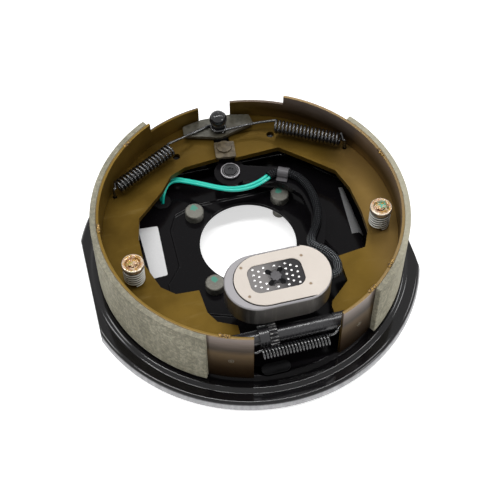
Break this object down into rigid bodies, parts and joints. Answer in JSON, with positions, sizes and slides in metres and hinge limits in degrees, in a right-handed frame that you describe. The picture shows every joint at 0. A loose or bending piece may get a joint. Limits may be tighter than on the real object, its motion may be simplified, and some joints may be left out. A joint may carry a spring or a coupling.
{
  "type": "electric trailer brake",
  "caption": "Drum brake plate with two lined shoes, an electromagnet on a swinging lever, return springs, hold-downs and a star-wheel adjuster.",
  "frame": {"origin": "middle of the plane that the backing plate's rim rests on", "axes": "+Z towards the drum, +Y from the adjuster to the anchor post"},
  "size_m": [0.264, 0.282, 0.0735],
  "materials": {
    "black_paint": "gloss paint",
    "dull_zinc": "satin zinc plate",
    "black_steel": "satin black oxide",
    "galvanised_steel": "satin galvanised",
    "spring_steel": "gloss black",
    "yellow_zinc": "iridescent chromate",
    "gold_chromate": "satin chromate",
    "brake_lining": "matt",
    "friction_pad": "matt",
    "magnet_steel": "satin",
    "core_iron": "ground",
    "copper_winding": "enamelled",
    "bronze": "plain",
    "lead_insulation": "gloss",
    "braided_sleeve": "braided",
    "black_rubber": "matt"
  },
  "bodies": {
    "frame": {"backing_plate": "black_paint", "mounting_studs": "dull_zinc", "anchor_post": "black_steel", "anchor_plate": "galvanised_steel", "lever_pivot_pin": "black_steel", "lever_retaining_ring": "black_steel", "adjuster_socket": "black_steel", "adjuster_nut": "black_steel", "adjuster_spring": "spring_steel", "primary_return_spring": "spring_steel", "secondary_return_spring": "spring_steel", "primary_hold_down_pin": "yellow_zinc", "primary_hold_down_spring": "yellow_zinc", "primary_hold_down_cup": "yellow_zinc", "secondary_hold_down_pin": "yellow_zinc", "secondary_hold_down_spring": "yellow_zinc", "secondary_hold_down_cup": "yellow_zinc", "lead_wires": "lead_insulation", "wire_grommet": "black_rubber", "adjuster_slot_plug": "black_rubber"},
    "lever": {"lever_arm": "black_paint", "lever_bushing": "bronze", "lever_link": "galvanised_steel", "lever_pin": "galvanised_steel", "wire_strap": "dull_zinc", "magnet_post": "black_steel", "magnet_spring": "spring_steel", "lead_sleeve": "braided_sleeve"},
    "magnet": {"magnet_housing": "magnet_steel", "magnet_coil": "copper_winding", "magnet_face": "friction_pad", "magnet_insert": "core_iron", "magnet_clip": "black_steel"},
    "primary_shoe": {"primary_web": "gold_chromate", "primary_table": "gold_chromate", "primary_lining": "brake_lining"},
    "secondary_shoe": {"secondary_web": "gold_chromate", "secondary_table": "gold_chromate", "secondary_lining": "brake_lining"},
    "star": {"star_screw": "black_steel"}
  },
  "joints": [
    {"name": "lever_swing", "type": "hinge", "parent": "frame", "child": "lever", "pos_m": [0.0003, 0.0622, 0.03575], "axis": [0, 0, -1], "range_deg": [0, 8], "deforming": ["lead_wires", "lead_sleeve"]},
    {"name": "magnet_slide", "type": "slide", "parent": "lever", "child": "magnet", "axis": [0, 0, 1], "range_m": [-0.002, 0], "stiffness_N_per_m": 800, "deforming": ["magnet_spring", "lead_sleeve"]},
    {"name": "primary_spread", "type": "hinge", "parent": "frame", "child": "primary_shoe", "pos_m": [0.046, -0.1, 0.0414], "axis": [0, 0, -1], "range_deg": [0, 1.2], "deforming": ["primary_return_spring", "adjuster_spring", "primary_hold_down_spring"]},
    {"name": "secondary_spread", "type": "hinge", "parent": "frame", "child": "secondary_shoe", "pos_m": [-0.034, -0.1, 0.0414], "axis": [0, 0, 1], "range_deg": [0, 1], "stiffness_Nm_per_rad": 20, "deforming": ["secondary_return_spring", "adjuster_spring", "secondary_hold_down_spring"]},
    {"name": "star_spin", "type": "hinge", "parent": "frame", "child": "star", "pos_m": [-0.0076, -0.1, 0.0414], "axis": [1, 0, 0], "continuous": true}
  ],
  "couplings": [
    {"joint": "primary_spread", "follows": "lever_swing", "ratio": 0.138}
  ]
}
